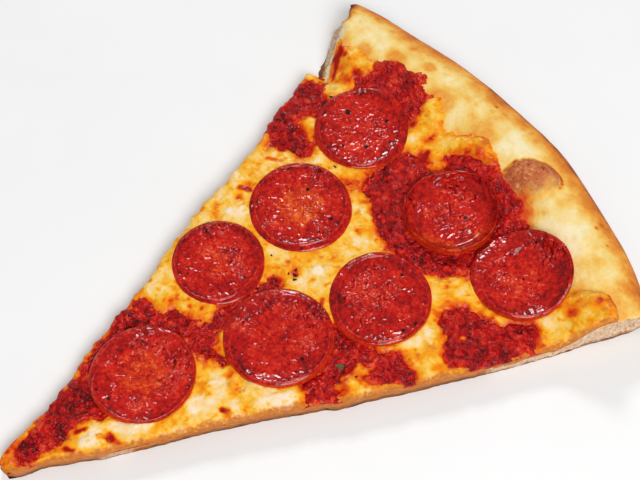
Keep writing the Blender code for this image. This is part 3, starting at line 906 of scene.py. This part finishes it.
SLICES = {
    # The edge curled up by `curl` and rose the more sharply the greater `steep` is, and the slice
    # sank by `sink`. Its ridge lies at a share of the radius, and further in where there is a flank
    # (direction in degrees, width in degrees, how much further). It tilts up towards a direction
    # (degrees, mm). It has char specks and wet places (x, y, radius), folds (x0, y0, x1, y1,
    # height, half width), and `warm` is how orange its middle is.
    "pepperoni_1": dict(
        curl=0.5, ridge=0.925, flanks=((45, 55, 0.11), (255, 50, 0.04)), tilt=(240, 0.5), warm=0.25,
        char=((-31.5, 165, 1.3), (-42, 156.3, 1.8), (-27, 153, 1.4), (-32, 147, 0.9)),
        wet=((-43, 153, 2.5), (-35.5, 152, 2.5), (-34, 162, 3), (-28, 160, 2)),
    ),
    "pepperoni_2": dict(
        curl=0.6, ridge=0.91, flanks=((0, 60, 0.07), (250, 40, 0.04)), tilt=(90, 0.3), warm=0.75,
        char=((-25, 127.5, 1.2), (-11.5, 127, 1.3), (-32.5, 108.5, 1.2), (-10, 121, 0.9)),
        wet=((-27, 133, 5), (-29, 111, 4), (-10, 122, 4), (-18, 124, 5), (-22, 109, 4)),
    ),
    "pepperoni_3": dict(
        curl=3.6, sink=1.5, steep=4.2, ridge=0.975, flanks=((150, 50, 0.10),), tilt=(120, 0.3),
        warm=0.1, char=((13, 163, 1.0), (-2, 152, 0.8)),
        wet=((3, 154, 5), (0, 150.5, 4), (14, 162, 5), (8.5, 158, 6), (1, 167, 5), (7, 169, 4)),
    ),
    "pepperoni_4": dict(
        curl=0.55, sink=0.1, ridge=0.92, flanks=((10, 45, 0.10),), tilt=(170, 0.2), warm=0.35,
        char=((-10.5, 92.5, 0.9), (-22, 79, 0.7)),
        wet=((-33, 92, 4), (-30, 97, 4), (-20, 94, 5), (-14, 93, 4)),
    ),
    "pepperoni_5": dict(
        curl=1.0, ridge=0.925, flanks=((183, 48, 0.30), (90, 30, 0.08)), tilt=(330, 0.3), warm=0.35,
        char=((23, 91, 1.2), (25.5, 87, 0.8)),
        wet=((14, 102, 6), (8, 98, 5), (1, 95, 4), (3.5, 84, 5), (21, 95, 4), (17, 76, 3)),
        folds=((-2, 98, 2, 90, 0.5, 0.8), (-1, 86, 3, 79, 0.5, 0.8), (13, 101, 18, 102, 0.7, 1.1),
               (7, 99, 10, 96, 0.5, 0.9), (3, 84, 4.5, 81, 0.5, 0.9)),
    ),
    "pepperoni_6": dict(
        curl=0.6, ridge=0.92, flanks=((210, 50, 0.10), (95, 30, 0.12)), tilt=(10, 0.2), warm=0.2,
        char=((34, 126, 1.0), (33.5, 121.5, 1.1), (18, 133, 1.0)),
        wet=((14, 120, 6), (20, 122, 6), (20, 127, 4), (12, 127, 4), (22, 115, 5), (15, 114, 4)),
    ),
    "pepperoni_7": dict(
        curl=1.2, ridge=0.93, flanks=((180, 62, 0.46),), tilt=(0, 0.3), warm=0.3,
        char=((34.5, 161, 0.8), (41.5, 163, 0.8), (45, 166, 0.7)),
        wet=((34, 175, 6), (41, 174, 6), (38, 157, 5), (50, 161, 4)),
    ),
    "pepperoni_8": dict(
        curl=0.9, ridge=0.945, flanks=((165, 40, 0.22), (205, 30, 0.20)), tilt=(200, 0.3), warm=0.55,
        char=((-0.5, 37, 1.1), (-5, 35.5, 0.8)),
        wet=((2, 60, 6), (6, 53, 5), (9, 58, 5), (7, 43, 5), (-6, 59, 4), (-9, 53, 4), (-2, 38, 4)),
        folds=((-12.5, 54, -9, 46, 0.9, 0.8), (-16, 44, -11, 37, 0.8, 0.8), (2, 61, 4, 54, 0.6, 1.1),
               (7, 59, 9, 54, 0.6, 0.9), (2, 40, 5, 42, 0.5, 0.9)),
    ),
}
# On the near side the crest is painted lighter as a highlight, and a deep bowl's wall is painted warmer as
# light and darker as shade.
NEAR_SIDE = math.radians(-40)  # the side where edges stand up high enough to catch the light
TOP_SHARE, EDGE_SHARE = 0.98, 0.02  # shares of the radius taken by the top and by the round edge
CRUMB_SPACING, MINCE_SPACING = 1.7, 0.95
# The last width is that of the lighter line painted along the crest on the near side: a painted highlight.
CREST_HEIGHT, CREST_WIDTH, PAINTED_HIGHLIGHT_WIDTH = 0.30, 0.016, 0.010


def turned_from(angle, direction):
    """How far an angle is turned from a direction, in degrees, from 0 to 180."""
    return np.abs((np.degrees(angle) - direction + 180) % 360 - 180)


def sausage_slice(name, curl, ridge, flanks, tilt, warm, char, wet, sink=0.0, steep=3.2, folds=()):
    """One slice, as rings round its middle: over the top, round the edge, and back underneath.

    Inside the ridge the surface rises by `curl` times the share of the way to it, to the power of
    `steep`. Outside the ridge it falls along a rounded curve to the edge. Grain is added on top:
    round crumbs of meat at two sizes, creases, gentle waves and folds. The underside is the bed that
    it lies on, raised under the curl.
    """
    middle_x, middle_y, wide = node_middle(name)
    seed = 300 + 10 * int(name[-1])
    angle = np.linspace(0, 2 * np.pi, TURNS, endpoint=False)[None, :]
    wobble = 0.010 * np.cos(2 * angle + seed) + 0.007 * np.cos(3 * angle + 2 * seed)
    outline = wide * (1 + wobble + 0.003 * np.cos(9 * angle + seed))
    turn_share = np.linspace(0, 1, RINGS_EDGE + 1)[1:, None]
    share = np.concatenate([
        np.linspace(0, 0.84, RINGS_MIDDLE)[:, None],
        np.linspace(0.85, TOP_SHARE, RINGS_RIDGE)[:, None],
        TOP_SHARE + EDGE_SHARE * np.sin(turn_share * np.pi / 2),
        np.linspace(0.97, 0, RINGS_UNDER)[:, None],
    ])
    is_edge, is_under = (
        np.repeat(flags, [RINGS_MIDDLE + RINGS_RIDGE, RINGS_EDGE, RINGS_UNDER])[:, None]
        for flags in ([False, True, False], [False, False, True])
    )
    x = middle_x + outline * share * np.cos(angle)
    y = middle_y + outline * share * np.sin(angle)

    ridge_share = ridge + 0.006 * np.cos(5 * angle + seed) + 0.004 * np.cos(11 * angle)
    for direction, width, further in flanks:
        ridge_share = ridge_share - further * bell(turned_from(angle, direction), width)
    within = np.clip(share / ridge_share, 0, 1)
    beyond = np.clip((share - ridge_share) / (1.0 - ridge_share), 0, 1)
    dish = curl * (within**steep - 0.16 * bell(within - 0.80, 0.09))
    fall = (curl + 0.5 * SLICE_THICKNESS) * (1 - np.sqrt(np.clip(1 - beyond**3.0, 0, 1)))
    lean = tilt[1] * share * np.cos(angle - math.radians(tilt[0]))
    away, number = grains(x, y, CRUMB_SPACING, seed)
    fine_away = grains(x, y, MINCE_SPACING, seed + 1)[0]
    meat = 0.16 * smooth((0.72 - away) / 0.6) * (0.3 + number) + 0.10 * smooth((0.7 - fine_away) / 0.5)
    creases = np.abs(rough(x, y, 3.4, seed + 3, 2)) + 0.6 * np.abs(ripple(x, y, 1.7, seed + 4))
    meat = meat + 0.34 * smooth(creases / 0.45) - 0.2 + 0.22 * rough(x, y, 7, seed + 2)
    flank = smooth((share - ridge_share) / 0.03) * smooth((0.86 - ridge_share) / 0.12)
    edge = smooth((share - ridge_share) / 0.02) * (1 - flank)
    oiled = spots(x, y, wet, 1.0)
    calm = (1 - 0.60 * edge) * (0.38 + 0.50 * oiled)
    near = 0.5 + 0.5 * np.cos(angle - NEAR_SIDE)
    near_ring = smooth((share - 0.72 + 0.06 * curl) / 0.12) * smooth(1.8 * near - 0.5)
    lively = (0.28 + 1.05 * smooth(2.4 * oiled)) * (1 - 0.90 * near_ring) * (1.35 - 0.35 * near)
    bowl_wall = smooth((within - 0.60) / 0.12) * smooth((curl - 2) / 1.5) * (1 - edge)
    bowl_wall = bowl_wall * smooth(1.6 * near - 0.3)
    calm = calm * (1 - 0.6 * bowl_wall)
    folded = 0.0 * x
    for x0, y0, x1, y1, rise, width in folds:
        crossed = inside(x, y, ((x0, y0, x1, y1, 0.0),))
        folded = folded + rise * bell(crossed, width)
    crest = CREST_HEIGHT * bell(share - ridge_share, CREST_WIDTH)
    bed = dough_section(np.hypot(x, y)) + BED_HEIGHT - sink + lean
    top = bed + SLICE_THICKNESS + dish - fall + (meat + folded) * calm + crest
    under = bed + 0.25 * curl * share**4
    round_edge = 1 - np.cos(np.clip((share - TOP_SHARE) / EDGE_SHARE, 0, 1) * np.pi / 2)
    height = np.where(is_under, under, top + (under - top) * np.where(is_edge, round_edge, 0))

    points = np.stack([x, y, height], -1)
    # The tone follows the height of the grain: its crumbs of meat and fat vary at random, the creases are
    # darker as painted shade, and the folds are lighter as a painted highlight.
    tone = 0.46 + 0.8 * (meat + 0.25 * folded - 0.12) * (0.4 + 0.6 * calm)
    tone = tone + 0.12 * ripple(x, y, 6, seed + 8)
    tone = tone + 0.10 * warm * (1 - within**2) + 0.05 * smooth((0.75 - share) / 0.3)
    # A lighter line along the crest on the near side: a painted highlight.
    tone = tone + 0.34 * near * bell(share - ridge_share, PAINTED_HIGHLIGHT_WIDTH)
    # Darker just inside the ridge: painted shade in the hollow there.
    tone = tone - 0.16 * bell(share - ridge_share + 0.05, 0.035) - 0.06 * edge
    # Lighter at the very edge; a deep bowl's wall is painted darker away from the near side, as shade.
    tone = tone + 0.10 * smooth((share - 0.975) / 0.02) - 0.10 * bowl_wall * (1 - near)
    masks = {
        "tone": tone,
        "flank": flank + 0 * tone,
        # The warm mask also paints the near wall of a deep bowl warmer and lighter, as painted light.
        "warm": warm * smooth((0.8 - share) / 0.6) + 0.6 * bowl_wall * near + 0 * tone,
        "char": spots(x, y, char, 0.9),
        "lively": lively * (1 - 0.6 * bowl_wall) * (1 - 0.4 * flank),
        "edge": edge * smooth((share - 0.96) / 0.03) + 0 * tone,
    }
    faces = quads(len(share), TURNS, closed=True)
    piece = piece_from(name, points, faces, masks, cured_sausage)
    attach(piece, "root")
    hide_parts(name)


def sausage():
    """Fried sausage: red meat in crumbs, paler at the fat, warmer in the middle, charred in specks, and
    painted lighter and darker in places as highlights and shade.

    The bumps that catch the light are two noises, each times the `lively` mask.
    """
    material, shader, place = new_material("cured_sausage", 0.13, 0.38)
    crumbs = node(place, "ShaderNodeTexVoronoi", Vector=place, Scale=1 / MM / 1.3).outputs["Distance"]
    fine = noise(place, 1.0, 4, 0.6, 1.0)
    broad = noise(place, 5.0, 3, 0.6, 0.8)
    tone = swayed(mask(place, "tone"), (crumbs, -0.30), (fine, 1.30), (broad, 0.75))
    red = ramp(
        tone, (0.04, (88, 3, 6)), (0.24, (136, 6, 8)), (0.44, (176, 12, 8)),
        (0.62, (200, 26, 12)), (0.82, (216, 52, 28)), (1.00, (232, 96, 62)),
    )
    orange = ramp(
        tone, (0.12, (146, 14, 6)), (0.44, (200, 40, 10)), (0.68, (220, 70, 18)),
        (0.95, (236, 124, 58)),
    )
    warm = step_up(swayed(mask(place, "warm"), (broad, 0.5), (fine, 0.3)), 0.25, 0.75)
    colour = mixed(warm, red, orange)
    maroon = ramp(
        tone, (0.1, (112, 4, 6)), (0.42, (168, 12, 10)), (0.62, (194, 28, 18)),
        (0.85, (216, 72, 52)),
    )
    colour = mixed(mask(place, "flank"), colour, maroon)
    skin = ramp(fine, (0.3, (196, 34, 8)), (0.7, (226, 84, 22)))
    colour = mixed(reckon("MULTIPLY", mask(place, "edge"), 0.6), colour, skin)
    burnt = step_up(swayed(mask(place, "char"), (fine, 0.9)), 0.24, 0.70)
    colour = mixed(burnt, colour, (*from_srgb((46, 14, 10)), 1))
    lively = swayed(mask(place, "lively"), (broad, 0.4))
    swells, beads = (
        reckon("MULTIPLY", reckon("SUBTRACT", height, 0.5), lively)
        for height in (noise(place, 2.8, 1, 0.4, 0.6), noise(place, 1.2, 1, 0.4))
    )
    surface(shader, colour, (swells, 1.4), (beads, 0.40))
    return material


cured_sausage = sausage()
for name, shape in SLICES.items():
    sausage_slice(name, **shape)

# ------------------------------------------------------------------ the herbs
# Crumbs of dried oregano, scattered with the sauce: thin curled flakes that turned olive, and dark
# brown where the oven caught them. They lie on the cheese and the sauce, half sunk in the fat.
FLAKES = (  # x, y, half length, half width, direction in degrees, how burnt
    (-2, 106, 0.9, 0.5, 20, 0.9), (-3.2, 107.2, 0.6, 0.4, 110, 0.8), (-0.6, 104.9, 0.7, 0.4, 60, 1.0),
    (-3.4, 104.6, 0.5, 0.3, 150, 0.9), (-18, 57.5, 1.0, 0.5, 40, 1.0), (-15.8, 59.2, 0.7, 0.4, 90, 0.9),
    (-20.4, 56.4, 0.6, 0.4, 10, 1.0), (-42, 138, 0.8, 0.4, 70, 0.9), (-50, 152, 0.9, 0.5, 130, 0.9),
    (-50.8, 156, 0.9, 0.4, 35, 1.0), (-52.6, 149, 0.5, 0.3, 80, 0.8), (31.5, 99, 1.3, 0.9, 25, 0.1),
    (-27, 140, 0.6, 0.3, 15, 0.8), (37, 101, 0.5, 0.3, 60, 0.7), (9, 140.5, 0.6, 0.4, 100, 0.9),
    (-12, 104, 0.4, 0.3, 0, 0.7), (46, 137.5, 0.6, 0.3, 45, 0.9), (-4, 22, 0.5, 0.3, 70, 0.9),
    (-1.5, 29, 0.7, 0.4, 50, 0.8), (-48, 158.5, 0.6, 0.3, 100, 0.9), (-10, 152, 0.5, 0.3, 30, 0.8),
)
FLAKE_TURNS, FLAKE_LIFT, FLAKE_HALF_THICKNESS, FLAKE_CURL = 14, 0.12, 0.13, 0.30
FLAKE_OUT = (0.0, 0.4, 0.75, 1.0, 0.75, 0.4, 0.0)  # a ring's share of the way out: over, then under
FLAKE_ABOVE = (1, 1, 1, 0, -1, -1, -1)

topping_places = cheese_points.reshape(2, -1, 3)[0]
sauce_places = patch_points.reshape(2, -1, 3)[0]


def resting_height(x, y):
    """Height of the toppings at a place: the higher of cheese and sauce at their nearest points."""
    heights = []
    for places in (topping_places, sauce_places):
        nearest = np.argmin((places[:, 0] - x) ** 2 + (places[:, 1] - y) ** 2)
        heights.append(places[nearest, 2])
    return max(heights)


def flake(number, x, y, half_length, half_width, direction, burnt):
    """A curled flake as rings of points, over the top and back underneath, and its burnt mask.

    Its outline is an ellipse times 1 plus two sine waves. It curls up with the square of the way
    out along its length. It is thickest in the middle and thins to the edge as a half circle does.
    """
    turn = np.linspace(0, 2 * np.pi, FLAKE_TURNS, endpoint=False)[None, :]
    out, above = np.array(FLAKE_OUT)[:, None], np.array(FLAKE_ABOVE)[:, None]
    ragged = 1 + 0.16 * np.sin(3 * turn + number) + 0.10 * np.sin(5 * turn + 2 * number)
    u, v = out * ragged * np.cos(turn) * half_length, out * ragged * np.sin(turn) * half_width
    angle = math.radians(direction)
    thick = FLAKE_HALF_THICKNESS * above * np.sqrt(np.clip(1 - out**2, 0, 1))
    curled = FLAKE_CURL * (u / half_length) ** 2 * half_width
    height = resting_height(x, y) + FLAKE_LIFT + thick + curled
    points = np.stack([
        x + u * math.cos(angle) - v * math.sin(angle), y + u * math.sin(angle) + v * math.cos(angle),
        np.broadcast_to(height, u.shape),
    ], -1)
    return points.reshape(-1, 3), np.full(points[..., 0].size, burnt)


def dried_leaf():
    """Dried leaf: olive with paler veins, to nearly black where it is burnt."""
    material, shader, place = new_material("dried_leaf", 0.5, 0.15)
    grain = noise(place, 0.5, 3)
    burnt = swayed(mask(place, "burnt"), (grain, 0.6))
    colour = ramp(
        burnt, (0.0, (96, 92, 54)), (0.35, (78, 64, 36)), (0.7, (70, 34, 18)), (1.0, (38, 16, 9)),
    )
    surface(shader, colour, (grain, 0.12))
    return material


flake_points, flake_burnt = map(np.concatenate, zip(*(
    flake(number, *shape) for number, shape in enumerate(FLAKES)
)))
one_flake = quads(len(FLAKE_OUT), FLAKE_TURNS, closed=True).reshape(-1, 4)
flake_faces = np.concatenate([
    one_flake + len(FLAKE_OUT) * FLAKE_TURNS * number for number in range(len(FLAKES))
])
herbs = piece_from("herb_flakes", flake_points, flake_faces, {"burnt": flake_burnt}, dried_leaf())
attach(herbs, "root")

# ------------------------------------------------------------------ the floor, the light, the camera
# The slice lies on a plain white table under a large soft light, and is seen from above its right
# cut. The second, smaller light stands beyond the left cut and puts the glints on the oily toppings.
TABLE_WIDTH = 2.4
TARGET = Vector((-0.00867, 0.01967, 0.0))
CAMERA_AZIMUTH, CAMERA_ELEVATION = math.radians(54.11), math.radians(60.5)
CAMERA_DISTANCE, CAMERA_LENS, SENSOR_WIDTH = 0.400, 68.87, 36.0
NEAR_LIGHT, NEAR_SIZE, NEAR_POWER = (0.70, -0.20, 0.84), (0.60, 0.60), 9.4
GLINT_LIGHT, GLINT_SIZE, GLINT_POWER = (-0.82, 0.554, 0.69), (0.27, 0.20), 4.4
SKY_STRENGTH = 0.30

floor_mesh = bpy.data.meshes.new("table_top")
half = TABLE_WIDTH / 2
floor_mesh.from_pydata(
    [(-half, -half, 0), (half, -half, 0), (half, half, 0), (-half, half, 0)], [], [(0, 1, 2, 3)],
)
white_table, shader, place = new_material("white_table", 0.9, 0.1)
paint = ramp(noise(place, 60.0), (0.3, (247, 247, 247)), (0.7, (250, 250, 250)))
surface(shader, paint)
floor_mesh.materials.append(white_table)
floor = bpy.data.objects.new("table_top", floor_mesh)
bpy.context.scene.collection.objects.link(floor)


def soft_light(name, place, size, power):
    """A rectangular light at a place, of a width and depth, turned to face the slice."""
    light = bpy.data.lights.new(name, "AREA")
    light.shape = "RECTANGLE"
    light.size, light.size_y = size
    light.energy = power
    lamp = bpy.data.objects.new(name, light)
    bpy.context.scene.collection.objects.link(lamp)
    lamp.location = place
    lamp.rotation_euler = (TARGET - Vector(place)).to_track_quat("-Z", "Y").to_euler()


soft_light("near_light", NEAR_LIGHT, NEAR_SIZE, NEAR_POWER)
soft_light("glint_light", GLINT_LIGHT, GLINT_SIZE, GLINT_POWER)

world = bpy.data.worlds.new("studio")
world.use_nodes = True
sky = world.node_tree.nodes["Background"]
put((1, 1, 1, 1), sky.inputs["Color"])
put(SKY_STRENGTH, sky.inputs["Strength"])
bpy.context.scene.world = world
bpy.context.scene.view_settings.view_transform = "Standard"

camera = bpy.data.cameras.new("camera")
camera.sensor_width, camera.lens = SENSOR_WIDTH, CAMERA_LENS
camera.clip_start, camera.clip_end = 0.01, 20.0
viewer = bpy.data.objects.new("camera", camera)
bpy.context.scene.collection.objects.link(viewer)
back = Vector((
    math.sin(CAMERA_AZIMUTH) * math.cos(CAMERA_ELEVATION),
    -math.cos(CAMERA_AZIMUTH) * math.cos(CAMERA_ELEVATION),
    math.sin(CAMERA_ELEVATION),
))
viewer.location = TARGET + back * CAMERA_DISTANCE
viewer.rotation_euler = back.to_track_quat("Z", "Y").to_euler()
bpy.context.scene.camera = viewer
